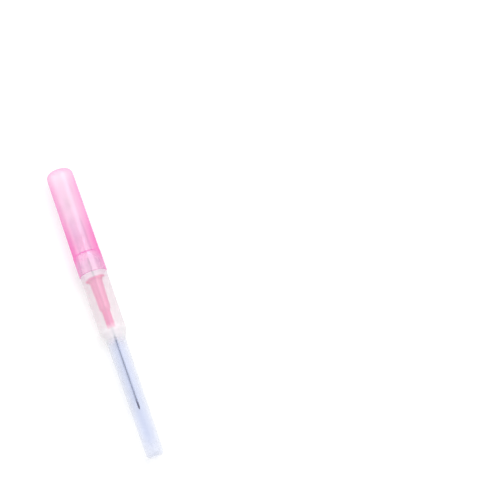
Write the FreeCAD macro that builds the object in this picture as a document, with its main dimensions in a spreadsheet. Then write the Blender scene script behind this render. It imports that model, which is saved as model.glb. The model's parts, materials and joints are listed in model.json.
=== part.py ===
"""Intravenous cannula of gauge 20, closed in its rigid two-part case and lying on its side.

The case is a frosted sheath that covers the needle and a clear pink cap that closes it.
Inside, a catheter with its luer-lock hub sits on a hollow steel needle. The needle is
glued into a clear hub that carries the flash chamber, and a vent plug with a porous
filter closes the chamber.

Every piece is turned about the same line, the case axis. Each one is modelled along its
own Y axis from a datum of its own, and is then put at its station on the case axis.
Stations count from the sheath's closed end towards the cap. The case rests on the front of
its main barrel and on the rim of the cap's mouth, so its axis climbs a little to the cap.

Row frame: millimetres, +Z up, floor at Z = 0, case axis in the YZ plane, cap towards +Y,
origin on the floor below the middle of the case.
"""

import FreeCAD, Part
import os

import Sketcher

DOCUMENT = "iv_cannula"
OUT_FOLDER = "parts"
TOUCH = 1e-4

SIZES = {
    # Sheath, outside
    "tip_barrel_length": 47.4,
    "tip_barrel_end_dia": 6.7,
    "tip_barrel_back_dia": 7.5,
    "shoulder_length": 3.5,
    "main_barrel_length": 24.45,
    "main_barrel_dia": 10.4,
    "spigot_length": 8.05,
    "spigot_dia": 9.5,
    "spigot_lead": 0.3,
    "sheath_end_bevel": 1.1,
    "gate_recess_dia": 3.3,
    "gate_recess_depth": 0.3,
    # Sheath, inside
    "sheath_end_wall": 1.8,
    "tip_bore_dia": 4.9,
    "bore_cone_setback": 0.55,
    "seat_depth": 3.9,
    # Cap
    "cap_length": 43.95,
    "cap_socket_dia": 11.05,
    "cap_seam_step": 0.12,
    "cap_end_dia": 10.5,
    "cap_bore_dia": 8.4,
    "cap_end_wall": 0.9,
    "cap_end_bevel": 1.2,
    "cap_mouth_lead": 0.2,
    "socket_relief": 0.15,
    # Needle
    "needle_dia": 0.72,
    "needle_bore_dia": 0.42,
    "needle_lead": 1.6,
    "needle_stickback": 2.7,
    "bevel_length": 2.1,
    "lancet_length": 1.6,
    "lancet_turn": 38.0,
    # Catheter tube
    "catheter_length": 32.0,
    "catheter_dia": 1.1,
    "catheter_bore_dia": 0.8,
    "catheter_tip_dia": 0.84,
    "catheter_tip_taper": 2.4,
    # Ferrule
    "ferrule_setback": 2.2,
    "ferrule_length": 2.9,
    "ferrule_flare_length": 0.9,
    "ferrule_flare_dia": 1.9,
    "ferrule_wall": 0.1,
    # Catheter hub
    "hub_length": 20.9,
    "hub_nose_length": 7.0,
    "hub_nose_dia": 3.2,
    "hub_nose_edge": 0.2,
    "hub_cone_length": 0.9,
    "hub_body_front_dia": 4.3,
    "hub_body_back_dia": 5.2,
    "hub_collar_dia": 6.0,
    "hub_collar_thickness": 0.9,
    "lug_span": 7.8,
    "lug_width": 2.8,
    "lug_thickness": 0.9,
    "lug_rise": 0.5,
    "lug_turn": 55.0,
    # Luer fit between the two hubs
    "luer_mouth_dia": 4.3,
    "luer_depth": 7.6,
    "luer_taper": 0.06,
    # Needle hub
    "shank_length": 5.9,
    "shank_core_dia": 2.2,
    "shank_fin_dia": 4.4,
    "shank_fin_thickness": 0.55,
    "shank_fin_count": 4,
    "disc_dia": 8.4,
    "disc_thickness": 1.0,
    "disc_edge": 0.15,
    "chamber_length": 17.1,
    "chamber_dia": 5.2,
    "chamber_bore_dia": 3.7,
    "chamber_floor_cone": 1.0,
    "glue_well_dia": 1.9,
    "glue_well_depth": 1.2,
    # Vent plug and filter
    "plug_mouth_dia": 4.26,
    "plug_nose_length": 6.3,
    "plug_neck_length": 0.7,
    "plug_body_length": 11.9,
    "plug_body_dia": 5.4,
    "plug_shoulder_dia": 4.6,
    "plug_shoulder_length": 0.9,
    "plug_rim_length": 2.4,
    "plug_rim_dia": 6.2,
    "plug_rim_front_edge": 0.2,
    "plug_rim_back_edge": 0.4,
    "plug_recess_dia": 3.8,
    "plug_recess_depth": 1.7,
    "plug_passage_dia": 1.6,
    "filter_dia": 3.0,
    "filter_length": 3.0,
    "filter_setback": 3.2,
    # Clearances, each from one surface to the other
    "case_fit": 0.03,
    "luer_fit": 0.03,
    "plug_fit": 0.03,
    "needle_fit": 0.03,
    "tip_fit": 0.02,
    "glue_line": 0.02,
    "lug_clearance": 0.08,
    "disc_clearance": 0.05,
    "hub_gap": 0.1,
}


def size(name):
    """The expression that reads one named size."""
    return f"Sizes.{name}"


def radius(name):
    """The expression for half of a named diameter."""
    return f"Sizes.{name} / 2"


# Stations on the case axis, from the sheath's closed end
SHOULDER_BACK = "(Sizes.tip_barrel_length + Sizes.shoulder_length)"
CASE_MOUTH = f"({SHOULDER_BACK} + Sizes.main_barrel_length)"
SPIGOT_TOP = f"({CASE_MOUTH} + Sizes.spigot_length)"
DISC_SEAT = f"({SPIGOT_TOP} - Sizes.seat_depth)"
HUB_MOUTH = f"({DISC_SEAT} - Sizes.shank_length)"
HUB_NOSE = f"({HUB_MOUTH} - Sizes.hub_length)"
CATHETER_TIP = f"({HUB_NOSE} - Sizes.catheter_length)"
NEEDLE_TIP = f"({CATHETER_TIP} - Sizes.needle_lead)"
CHAMBER_MOUTH = f"({DISC_SEAT} + Sizes.disc_thickness + Sizes.chamber_length)"
PLUG_SHOULDER = f"({CHAMBER_MOUTH} + Sizes.plug_neck_length)"
CASE_END = f"({CASE_MOUTH} + Sizes.cap_length)"

# The case rests on the front of its main barrel and on the rim of the cap's mouth
REST_RISE = "((Sizes.cap_socket_dia - Sizes.main_barrel_dia) / 2)"
TILT = f"atan({REST_RISE} / Sizes.main_barrel_length)"
AXIS_LIFT = f"(Sizes.main_barrel_dia / 2 * cos({TILT}) - {SHOULDER_BACK} * sin({TILT}))"

# Radii that two pieces share
LUG_BORE = "(Sizes.lug_span / 2 + Sizes.lug_clearance)"
DISC_BORE = "(Sizes.disc_dia / 2 + Sizes.disc_clearance)"
SOCKET_BORE = "(Sizes.spigot_dia / 2 + Sizes.case_fit)"
NEEDLE_HOLE = "(Sizes.needle_dia / 2 + Sizes.glue_line)"
FERRULE_BORE = "(Sizes.needle_dia / 2 + Sizes.needle_fit)"
FERRULE_OUTSIDE = f"({FERRULE_BORE} + Sizes.ferrule_wall)"
CATHETER_WALL = "((Sizes.catheter_dia - Sizes.catheter_bore_dia) / 2)"
SLEEVED_OUTSIDE = f"({FERRULE_OUTSIDE} + {CATHETER_WALL})"
FLARE_OUTSIDE = f"(Sizes.ferrule_flare_dia / 2 + {CATHETER_WALL})"

# The body's Y axis, as a sketch on each plane sees it
TURN_AXIS = {"XY_Plane": FreeCAD.Vector(0, 1, 0), "YZ_Plane": FreeCAD.Vector(1, 0, 0)}


def make_sheet(doc):
    """The spreadsheet of driving sizes, one row each, with the size's name as its alias."""
    sheet = doc.addObject("Spreadsheet::Sheet", "Sizes")
    sheet.Label = "Sizes"
    for row, (name, value) in enumerate(SIZES.items(), start=1):
        sheet.set(f"A{row}", name)
        sheet.set(f"B{row}", str(value))
        sheet.setAlias(f"B{row}", name)
    doc.recompute()
    return sheet


def origin_feature(body, role):
    """One of the body's own origin planes or axes."""
    return next(f for f in body.Origin.OriginFeatures if f.Role == role)


def make_body(doc, name, station):
    """An empty body whose own Y axis lies on the case axis, with its datum at a station."""
    body = doc.addObject("PartDesign::Body", name)
    body.Label = name
    body.Placement = FreeCAD.Placement(
        FreeCAD.Vector(0, 0, 1), FreeCAD.Rotation(FreeCAD.Vector(1, 0, 0), 1)
    )
    body.setExpression("Placement.Rotation.Angle", TILT)
    body.setExpression("Placement.Base.y", f"({station} - {CASE_END} / 2) * cos({TILT})")
    body.setExpression("Placement.Base.z", f"{AXIS_LIFT} + {station} * sin({TILT})")
    return body


def make_sketch(body, name, role, turn=None):
    """A sketch on an origin plane of its body, turned about the body's Y axis if asked."""
    sketch = body.newObject("Sketcher::SketchObject", name)
    sketch.AttachmentSupport = (origin_feature(body, role), [""])
    sketch.MapMode = "FlatFace"
    if turn is not None:
        pivot = FreeCAD.Rotation(TURN_AXIS[role], 1)
        sketch.AttachmentOffset = FreeCAD.Placement(FreeCAD.Vector(), pivot)
        sketch.setExpression("AttachmentOffset.Rotation.Angle", turn)
    return sketch


def hold_point(sketch, line, across, along):
    """Ties the start of a line to its two expressions, or to an axis where one is zero."""
    for kind, axis, expression in (("DistanceX", -2, across), ("DistanceY", -1, along)):
        if expression == "0":
            sketch.addConstraint(Sketcher.Constraint("PointOnObject", line, 1, axis))
            continue
        value = float(sketch.evalExpression(expression))
        at = sketch.addConstraint(Sketcher.Constraint(kind, -1, 1, line, 1, value))
        sketch.setExpression(f"Constraints[{at}]", expression)


def draw_outline(sketch, corners):
    """A closed outline of straight lines through corners, each a pair of expressions."""
    points = [
        FreeCAD.Vector(
            float(sketch.evalExpression(across)), float(sketch.evalExpression(along)), 0
        )
        for across, along in corners
    ]
    count = len(points)
    for i in range(count):
        sketch.addGeometry(Part.LineSegment(points[i], points[(i + 1) % count]), False)
    for i in range(count):
        sketch.addConstraint(Sketcher.Constraint("Coincident", i, 2, (i + 1) % count, 1))
    for i, (across, along) in enumerate(corners):
        hold_point(sketch, i, across, along)


def finish_feature(feature):
    """Recomputes a new feature and stops if it failed."""
    feature.Document.recompute()
    if "Invalid" in feature.State or feature.Shape.isNull():
        raise RuntimeError(f"{feature.Name} failed")
    return feature


def turn_about_axis(body, kind, name, corners):
    """A Revolution or a Groove about the body's Y axis. Corners are (radius, station)."""
    sketch = make_sketch(body, f"{name}_profile", "XY_Plane")
    draw_outline(sketch, corners)
    before = body.Shape.Volume if body.Tip else 0.0
    feature = body.newObject(f"PartDesign::{kind}", name)
    feature.Profile = sketch
    feature.ReferenceAxis = (sketch, ["V_Axis"])
    feature.Angle = 360
    finish_feature(feature)
    if kind == "Groove":
        check_cut(feature, before)
    return feature


def pad(body, name, role, corners, length, symmetric=False, turn=None):
    """A pad of an outline on an origin plane, to one side of it or half to each side."""
    sketch = make_sketch(body, f"{name}_outline", role, turn)
    draw_outline(sketch, corners)
    feature = body.newObject("PartDesign::Pad", name)
    feature.Profile = sketch
    feature.SideType = "Symmetric" if symmetric else "One side"
    feature.setExpression("Length", length)
    return finish_feature(feature)


def cut_across(body, name, corners, turn=None):
    """A through cut of a side view, to both sides of the YZ plane. Corners are (Y, Z)."""
    sketch = make_sketch(body, f"{name}_outline", "YZ_Plane", turn)
    draw_outline(sketch, corners)
    before = body.Shape.Volume
    feature = body.newObject("PartDesign::Pocket", name)
    feature.Profile = sketch
    feature.Type = "ThroughAll"
    feature.SideType = "Symmetric"
    finish_feature(feature)
    check_cut(feature, before)
    return feature


def spread_round(body, name, feature, count):
    """Repeats a feature evenly about the body's Y axis."""
    pattern = body.newObject("PartDesign::PolarPattern", name)
    pattern.Originals = [feature]
    pattern.Axis = (origin_feature(body, "Y_Axis"), [""])
    pattern.Angle = 360
    pattern.setExpression("Occurrences", count)
    body.Tip = pattern
    return finish_feature(pattern)


def check_cut(feature, before):
    """Stops if a cut took nothing away."""
    if feature.Shape.Volume > before - TOUCH:
        raise RuntimeError(f"{feature.Name} cuts nothing")


def ring_edges(feature, across, along):
    """Names of the circular edges with a given radius at a given station."""
    wanted_radius = float(feature.evalExpression(across))
    wanted_station = float(feature.evalExpression(along))
    found = []
    for i, edge in enumerate(feature.Shape.Edges, start=1):
        curve = edge.Curve
        if not isinstance(curve, Part.Circle):
            continue
        near_radius = abs(curve.Radius - wanted_radius) < TOUCH
        if near_radius and abs(curve.Center.y - wanted_station) < TOUCH:
            found.append(f"Edge{i}")
    if not found:
        raise RuntimeError(f"no ring edge on {feature.Name} at {across}, {along}")
    return found


def bevel_ring(body, name, ring, amount):
    """A chamfer on one ring edge, given as (radius, station)."""
    base = body.Tip
    edges = ring_edges(base, *ring)
    feature = body.newObject("PartDesign::Chamfer", name)
    feature.Base = (base, edges)
    feature.setExpression("Size", amount)
    return finish_feature(feature)


def make_protective_sheath(doc):
    """Frosted sheath: a slim barrel over the needle, a wide one over the hub, a spigot."""
    body = make_body(doc, "protective_sheath", "0")
    cone_front = "(Sizes.tip_barrel_length + Sizes.bore_cone_setback)"
    cone_back = f"({cone_front} + Sizes.shoulder_length)"
    end_ring = (radius("tip_barrel_end_dia"), "0")
    spigot_ring = (radius("spigot_dia"), SPIGOT_TOP)
    turn_about_axis(
        body,
        "Revolution",
        "sheath_wall",
        [
            ("0", size("gate_recess_depth")),
            (radius("gate_recess_dia"), size("gate_recess_depth")),
            (radius("gate_recess_dia"), "0"),
            end_ring,
            (radius("tip_barrel_back_dia"), size("tip_barrel_length")),
            (radius("main_barrel_dia"), SHOULDER_BACK),
            (radius("main_barrel_dia"), CASE_MOUTH),
            (radius("spigot_dia"), CASE_MOUTH),
            spigot_ring,
            (DISC_BORE, SPIGOT_TOP),
            (DISC_BORE, DISC_SEAT),
            (LUG_BORE, DISC_SEAT),
            (LUG_BORE, cone_back),
            (radius("tip_bore_dia"), cone_front),
            (radius("tip_bore_dia"), size("sheath_end_wall")),
            ("0", size("sheath_end_wall")),
        ],
    )
    bevel_ring(body, "sheath_end_edge", end_ring, size("sheath_end_bevel"))
    bevel_ring(body, "spigot_edge", spigot_ring, size("spigot_lead"))
    return body


def make_end_cap(doc):
    """Pink cap: a thin socket that slips over the spigot, and a long closed end."""
    body = make_body(doc, "end_cap", CASE_MOUTH)
    length = size("cap_length")
    seam = size("spigot_length")
    socket_end = "(Sizes.spigot_length + Sizes.socket_relief)"
    body_front = "(Sizes.cap_socket_dia / 2 - Sizes.cap_seam_step)"
    end_ring = (radius("cap_end_dia"), length)
    mouth_ring = (SOCKET_BORE, "0")
    turn_about_axis(
        body,
        "Revolution",
        "cap_wall",
        [
            mouth_ring,
            (radius("cap_socket_dia"), "0"),
            (radius("cap_socket_dia"), seam),
            (body_front, f"{seam} + Sizes.cap_seam_step"),
            end_ring,
            ("0", length),
            ("0", f"{length} - Sizes.cap_end_wall"),
            (radius("cap_bore_dia"), f"{length} - Sizes.cap_end_wall"),
            (radius("cap_bore_dia"), socket_end),
            (SOCKET_BORE, socket_end),
        ],
    )
    bevel_ring(body, "cap_end_edge", end_ring, size("cap_end_bevel"))
    bevel_ring(body, "cap_mouth_edge", mouth_ring, size("cap_mouth_lead"))
    return body


def make_catheter_tube(doc):
    """Soft tube: tapered onto the needle at its tip, opened out over the ferrule."""
    body = make_body(doc, "catheter_tube", CATHETER_TIP)
    sleeve = "(Sizes.catheter_length + Sizes.ferrule_setback)"
    step = CATHETER_WALL
    flare = f"({sleeve} + Sizes.ferrule_length - Sizes.ferrule_flare_length)"
    back = f"({sleeve} + Sizes.ferrule_length)"
    tip_bore = "(Sizes.needle_dia / 2 + Sizes.tip_fit)"
    turn_about_axis(
        body,
        "Revolution",
        "catheter_wall",
        [
            (tip_bore, "0"),
            (radius("catheter_tip_dia"), "0"),
            (radius("catheter_dia"), size("catheter_tip_taper")),
            (radius("catheter_dia"), f"{sleeve} - {step}"),
            (SLEEVED_OUTSIDE, sleeve),
            (SLEEVED_OUTSIDE, flare),
            (FLARE_OUTSIDE, back),
            (radius("ferrule_flare_dia"), back),
            (FERRULE_OUTSIDE, flare),
            (FERRULE_OUTSIDE, sleeve),
            (radius("catheter_bore_dia"), f"{sleeve} - {step}"),
            (radius("catheter_bore_dia"), size("catheter_tip_taper")),
        ],
    )
    return body


def make_catheter_ferrule(doc):
    """Thin steel eyelet that wedges the tube's flared end into the catheter hub."""
    body = make_body(doc, "catheter_ferrule", f"({HUB_NOSE} + Sizes.ferrule_setback)")
    flare = "(Sizes.ferrule_length - Sizes.ferrule_flare_length)"
    back = size("ferrule_length")
    turn_about_axis(
        body,
        "Revolution",
        "ferrule_wall",
        [
            (FERRULE_BORE, "0"),
            (FERRULE_OUTSIDE, "0"),
            (FERRULE_OUTSIDE, flare),
            (radius("ferrule_flare_dia"), back),
            ("Sizes.ferrule_flare_dia / 2 - Sizes.ferrule_wall", back),
            (FERRULE_BORE, flare),
        ],
    )
    return body


def make_catheter_hub(doc):
    """Pink hub: a slim nose that grips the tube, a luer socket and two locking lugs."""
    body = make_body(doc, "catheter_hub", HUB_NOSE)
    length = size("hub_length")
    cone_back = "(Sizes.hub_nose_length + Sizes.hub_cone_length)"
    collar_front = "(Sizes.hub_length - Sizes.hub_collar_thickness)"
    nose_ring = (radius("hub_nose_dia"), "0")
    turn_about_axis(
        body,
        "Revolution",
        "hub_form",
        [
            ("0", "0"),
            nose_ring,
            (radius("hub_nose_dia"), size("hub_nose_length")),
            (radius("hub_body_front_dia"), cone_back),
            (radius("hub_body_back_dia"), collar_front),
            (radius("hub_collar_dia"), collar_front),
            (radius("hub_collar_dia"), length),
            ("0", length),
        ],
    )
    bevel_ring(body, "hub_nose_bevel", nose_ring, size("hub_nose_edge"))
    add_locking_lugs(body)
    cut_hub_bore(body)
    return body


def add_locking_lugs(body):
    """Two lugs on the hub's collar, whose front faces climb like a thread's flank."""
    length = size("hub_length")
    lug_front = "(Sizes.hub_length - Sizes.lug_thickness)"
    half_width = "Sizes.lug_width / 2"
    lug = pad(
        body,
        "lug_block",
        "XY_Plane",
        [
            (f"-{half_width}", length),
            (f"-{half_width}", f"{lug_front} - Sizes.lug_rise / 2"),
            (half_width, f"{lug_front} + Sizes.lug_rise / 2"),
            (half_width, length),
        ],
        size("lug_span"),
        turn=size("lug_turn"),
    )
    spread_round(body, "locking_lugs", lug, "2")
    clear = "Sizes.lug_width"
    turn_about_axis(
        body,
        "Groove",
        "lug_tips",
        [
            ("Sizes.lug_span / 2", f"{lug_front} - {clear}"),
            ("Sizes.lug_span + Sizes.lug_width", f"{lug_front} - {clear}"),
            ("Sizes.lug_span + Sizes.lug_width", f"{length} + {clear}"),
            ("Sizes.lug_span / 2", f"{length} + {clear}"),
        ],
    )


def cut_hub_bore(body):
    """The hub's inside: hold for the sleeved tube, wedge seat, funnel and luer socket."""
    length = size("hub_length")
    sleeve = size("ferrule_setback")
    flare = f"({sleeve} + Sizes.ferrule_length - Sizes.ferrule_flare_length)"
    flare_back = f"({sleeve} + Sizes.ferrule_length)"
    luer_front = "(Sizes.hub_length - Sizes.luer_depth)"
    luer_front_radius = (
        "(Sizes.luer_mouth_dia / 2 - Sizes.luer_taper / 2 * Sizes.luer_depth)"
    )
    turn_about_axis(
        body,
        "Groove",
        "hub_bore",
        [
            ("0", "0"),
            (radius("catheter_dia"), "0"),
            (radius("catheter_dia"), f"{sleeve} - {CATHETER_WALL}"),
            (SLEEVED_OUTSIDE, sleeve),
            (SLEEVED_OUTSIDE, flare),
            (FLARE_OUTSIDE, flare_back),
            (FLARE_OUTSIDE, size("hub_nose_length")),
            (luer_front_radius, luer_front),
            (radius("luer_mouth_dia"), length),
            ("0", length),
        ],
    )


def make_needle(doc):
    """Steel tube ground to a lancet point: one long bevel, then a facet at each side."""
    body = make_body(doc, "needle", NEEDLE_TIP)
    length = f"({DISC_SEAT} + Sizes.needle_stickback - {NEEDLE_TIP})"
    turn_about_axis(
        body,
        "Revolution",
        "needle_wall",
        [
            (radius("needle_bore_dia"), "0"),
            (radius("needle_dia"), "0"),
            (radius("needle_dia"), length),
            (radius("needle_bore_dia"), length),
        ],
    )
    heel = radius("needle_dia")
    cut_across(
        body,
        "bevel",
        [
            ("0", f"-{heel}"),
            (size("bevel_length"), heel),
            (size("bevel_length"), size("needle_dia")),
            ("0", size("needle_dia")),
        ],
    )
    point = "(Sizes.needle_dia / 2 * cos(Sizes.lancet_turn))"
    for side, turn in (("left", "Sizes.lancet_turn"), ("right", "-Sizes.lancet_turn")):
        cut_across(
            body,
            f"lancet_{side}",
            [
                ("0", f"-{point}"),
                (size("lancet_length"), heel),
                (size("lancet_length"), size("needle_dia")),
                ("0", size("needle_dia")),
            ],
            turn,
        )
    return body


def make_needle_bond(doc):
    """Ring of adhesive that fills the well round the needle in the needle hub's nose."""
    body = make_body(doc, "needle_bond", f"({HUB_MOUTH} - Sizes.luer_depth + Sizes.hub_gap)")
    turn_about_axis(
        body,
        "Revolution",
        "bond_ring",
        [
            (radius("needle_dia"), "0"),
            (radius("glue_well_dia"), "0"),
            (NEEDLE_HOLE, size("glue_well_depth")),
            (radius("needle_dia"), size("glue_well_depth")),
        ],
    )
    return body


def make_needle_hub(doc):
    """Clear hub: a luer nose, a finned shank, a grip disc and the flash chamber."""
    body = make_body(doc, "needle_hub", DISC_SEAT)
    nose_front = "(-Sizes.shank_length - Sizes.luer_depth + Sizes.hub_gap)"
    nose_back = "(-Sizes.shank_length + Sizes.hub_gap)"
    nose_back_radius = "(Sizes.luer_mouth_dia / 2 - Sizes.luer_fit)"
    nose_front_radius = (
        f"({nose_back_radius} - Sizes.luer_taper / 2 * ({nose_back} - {nose_front}))"
    )
    floor = size("disc_thickness")
    chamber_back = "(Sizes.disc_thickness + Sizes.chamber_length)"
    disc_rings = [(radius("disc_dia"), "0"), (radius("disc_dia"), floor)]
    turn_about_axis(
        body,
        "Revolution",
        "hub_form",
        [
            ("0", nose_front),
            (nose_front_radius, nose_front),
            (nose_back_radius, nose_back),
            (radius("shank_core_dia"), nose_back),
            (radius("shank_core_dia"), "0"),
            disc_rings[0],
            disc_rings[1],
            (radius("chamber_dia"), floor),
            (radius("chamber_dia"), chamber_back),
            ("0", chamber_back),
        ],
    )
    for end, ring in zip(("front", "back"), disc_rings):
        bevel_ring(body, f"disc_{end}_bevel", ring, size("disc_edge"))
    fin = pad(
        body,
        "shank_fin",
        "YZ_Plane",
        [
            (nose_back, "0"),
            (nose_back, radius("shank_fin_dia")),
            ("0", radius("shank_fin_dia")),
            ("0", "0"),
        ],
        size("shank_fin_thickness"),
        symmetric=True,
    )
    spread_round(body, "shank_fins", fin, size("shank_fin_count"))
    cut_chamber(body, nose_front)
    return body


def cut_chamber(body, nose_front):
    """The needle hub's inside: glue well, needle hole, flash chamber and plug socket."""
    floor = size("disc_thickness")
    chamber_back = "(Sizes.disc_thickness + Sizes.chamber_length)"
    socket_depth = "(Sizes.plug_nose_length + Sizes.socket_relief)"
    socket_front = f"({chamber_back} - {socket_depth})"
    socket_front_radius = (
        f"(Sizes.plug_mouth_dia / 2 - Sizes.luer_taper / 2 * {socket_depth})"
    )
    turn_about_axis(
        body,
        "Groove",
        "chamber",
        [
            ("0", nose_front),
            (radius("glue_well_dia"), nose_front),
            (NEEDLE_HOLE, f"{nose_front} + Sizes.glue_well_depth"),
            (NEEDLE_HOLE, floor),
            (radius("chamber_bore_dia"), f"{floor} + Sizes.chamber_floor_cone"),
            (radius("chamber_bore_dia"), socket_front),
            (socket_front_radius, socket_front),
            (radius("plug_mouth_dia"), chamber_back),
            ("0", chamber_back),
        ],
    )


def make_vent_plug(doc):
    """Frosted plug: a taper nose for the chamber, a finger rim and a through passage."""
    body = make_body(doc, "vent_plug", PLUG_SHOULDER)
    neck = "(Sizes.plug_neck_length + Sizes.plug_nose_length)"
    mouth_radius = "(Sizes.plug_mouth_dia / 2 - Sizes.plug_fit)"
    nose_radius = f"({mouth_radius} - Sizes.luer_taper / 2 * Sizes.plug_nose_length)"
    rim_front = size("plug_body_length")
    back = "(Sizes.plug_body_length + Sizes.plug_rim_length)"
    rim_rings = {
        "front": (radius("plug_rim_dia"), rim_front),
        "back": (radius("plug_rim_dia"), back),
    }
    turn_about_axis(
        body,
        "Revolution",
        "plug_form",
        [
            ("0", f"-{neck}"),
            (nose_radius, f"-{neck}"),
            (mouth_radius, "-Sizes.plug_neck_length"),
            (mouth_radius, "0"),
            (radius("plug_shoulder_dia"), "0"),
            (radius("plug_body_dia"), size("plug_shoulder_length")),
            (radius("plug_body_dia"), rim_front),
            rim_rings["front"],
            rim_rings["back"],
            ("0", back),
        ],
    )
    for end, ring in rim_rings.items():
        bevel_ring(body, f"plug_rim_{end}_bevel", ring, size(f"plug_rim_{end}_edge"))
    recess = f"({back} - Sizes.plug_recess_depth)"
    filter_front = f"({recess} - Sizes.filter_setback - Sizes.filter_length)"
    turn_about_axis(
        body,
        "Groove",
        "plug_passage",
        [
            ("0", f"-{neck}"),
            (radius("plug_passage_dia"), f"-{neck}"),
            (radius("plug_passage_dia"), filter_front),
            (radius("filter_dia"), filter_front),
            (radius("filter_dia"), recess),
            (radius("plug_recess_dia"), recess),
            (radius("plug_recess_dia"), back),
            ("0", back),
        ],
    )
    return body


def make_vent_filter(doc):
    """Porous filter: a short rod pressed into the plug's passage from behind."""
    back = "(Sizes.plug_body_length + Sizes.plug_rim_length - Sizes.plug_recess_depth)"
    front = f"({back} - Sizes.filter_setback - Sizes.filter_length)"
    body = make_body(doc, "vent_filter", f"({PLUG_SHOULDER} + {front})")
    turn_about_axis(
        body,
        "Revolution",
        "filter_rod",
        [
            ("0", "0"),
            (radius("filter_dia"), "0"),
            (radius("filter_dia"), size("filter_length")),
            ("0", size("filter_length")),
        ],
    )
    return body


def check_document(doc, bodies):
    """Stops before anything is written if an object failed or a shape isn't sound."""
    for thing in doc.Objects:
        if "Invalid" in thing.State or "Error" in thing.State:
            raise RuntimeError(f"{thing.Name} failed: {thing.State}")
    for body in bodies:
        shape = body.Shape
        if shape.isNull() or not shape.isValid() or len(shape.Solids) != 1:
            raise RuntimeError(f"{body.Label} isn't one sound solid")


def export(bodies):
    """Writes each sub-part, in its place, to its own STEP file."""
    os.makedirs(OUT_FOLDER, exist_ok=True)
    for body in bodies:
        body.Shape.exportStep(f"{OUT_FOLDER}/{body.Label}.step")
        print(f"{body.Label}: {body.Shape.Volume:.2f} mm3")


def main():
    """Builds the document, checks it and writes the sub-parts."""
    doc = FreeCAD.newDocument(DOCUMENT)
    make_sheet(doc)
    makers = (
        make_protective_sheath,
        make_end_cap,
        make_catheter_tube,
        make_catheter_ferrule,
        make_catheter_hub,
        make_needle,
        make_needle_bond,
        make_needle_hub,
        make_vent_plug,
        make_vent_filter,
    )
    bodies = [maker(doc) for maker in makers]
    doc.recompute()
    check_document(doc, bodies)
    export(bodies)


main()
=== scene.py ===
"""Studio picture of an intravenous cannula of gauge 20, lying closed in its two-part case.

The case is a frosted sheath over the needle and the hub, and a clear pink cap over the
flash chamber and its vent plug. Every piece is turned about one line, the case axis. Its
sizes are given here in millimetres, with stations that count from the sheath's closed end,
and the axis itself is read from the frame.

Each sub-assembly is a class whose fields are its sizes and whose build() makes its pieces.
Each finish is a small frozen record, named for the real material, that becomes a node material.
"""

from __future__ import annotations

import json
import logging
import math
from dataclasses import dataclass
from enum import Enum

import bmesh
import bpy
from mathutils import Matrix, Vector

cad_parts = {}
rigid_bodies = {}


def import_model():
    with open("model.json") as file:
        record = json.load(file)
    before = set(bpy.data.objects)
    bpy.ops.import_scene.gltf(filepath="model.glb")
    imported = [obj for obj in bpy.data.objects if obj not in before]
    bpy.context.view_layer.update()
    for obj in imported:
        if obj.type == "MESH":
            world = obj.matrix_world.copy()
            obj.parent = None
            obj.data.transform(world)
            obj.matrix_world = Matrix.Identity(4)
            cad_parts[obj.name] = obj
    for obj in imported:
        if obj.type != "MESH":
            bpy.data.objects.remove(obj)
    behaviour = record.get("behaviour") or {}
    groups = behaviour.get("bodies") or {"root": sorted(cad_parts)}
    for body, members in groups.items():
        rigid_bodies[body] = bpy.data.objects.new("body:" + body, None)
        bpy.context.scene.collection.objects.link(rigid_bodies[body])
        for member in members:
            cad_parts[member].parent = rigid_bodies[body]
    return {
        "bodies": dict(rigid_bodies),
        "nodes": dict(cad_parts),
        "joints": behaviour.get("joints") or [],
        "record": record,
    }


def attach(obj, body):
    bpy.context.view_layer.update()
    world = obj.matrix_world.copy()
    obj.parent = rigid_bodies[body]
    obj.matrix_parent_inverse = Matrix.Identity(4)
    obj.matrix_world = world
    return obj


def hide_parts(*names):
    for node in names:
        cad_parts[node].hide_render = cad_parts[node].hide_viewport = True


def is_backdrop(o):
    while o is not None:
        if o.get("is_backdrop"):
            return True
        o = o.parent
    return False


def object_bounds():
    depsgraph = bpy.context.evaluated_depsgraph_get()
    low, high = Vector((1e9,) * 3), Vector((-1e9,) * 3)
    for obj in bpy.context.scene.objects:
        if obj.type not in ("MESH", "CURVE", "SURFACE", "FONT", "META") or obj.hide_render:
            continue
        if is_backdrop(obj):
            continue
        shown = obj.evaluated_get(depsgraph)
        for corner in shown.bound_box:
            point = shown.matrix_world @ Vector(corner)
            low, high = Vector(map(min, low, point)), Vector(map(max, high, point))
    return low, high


Material, Mesh = bpy.types.Material, bpy.types.Mesh
Node, Socket, Tree = bpy.types.Node, bpy.types.NodeSocket, bpy.types.NodeTree
Value = float | tuple[float, ...] | Socket

LOG = logging.getLogger("iv_cannula")
MM = 0.001

# An arc has one side for each of these angles, and takes up no more than this share of the
# edge on either side of its corner.
ARC_STEP = math.radians(11)
MAX_SHARE = 0.9
# Edges that bend more than this stay sharp, on turned pieces and on packed ones.
TURNED_SHARP = math.radians(32)
PACKED_SHARP = math.radians(30)
# The mesh attribute that tells a finish which faces line a bore or a recess.
BORE_FACES = "bore_faces"
# Half the width of the line that a step in a wall shows, in millimetres.
SEAM_HALF = 0.45
# Least and greatest size of the filter's grains, as shares of the full one.
GRAIN_SPREAD = (0.55, 1.0)
# Refractive index of the moulded plastics.
PLASTIC_IOR = 1.45


class Side(Enum):
    """Which way a light stands from the object, as seen in the picture."""

    LEFT = "left"
    RIGHT = "right"
    TOP = "top"


def linear(code: str) -> tuple[float, float, float, float]:
    """Turns an sRGB hex colour into the linear RGBA that nodes take.

    Args:
        code: The colour, such as "#F0148C".

    Returns:
        Red, green, blue and an alpha of 1.
    """
    parts = [int(code[i : i + 2], 16) / 255 for i in (1, 3, 5)]
    bent = [p / 12.92 if p <= 0.04045 else ((p + 0.055) / 1.055) ** 2.4 for p in parts]
    return bent[0], bent[1], bent[2], 1.0


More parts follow.
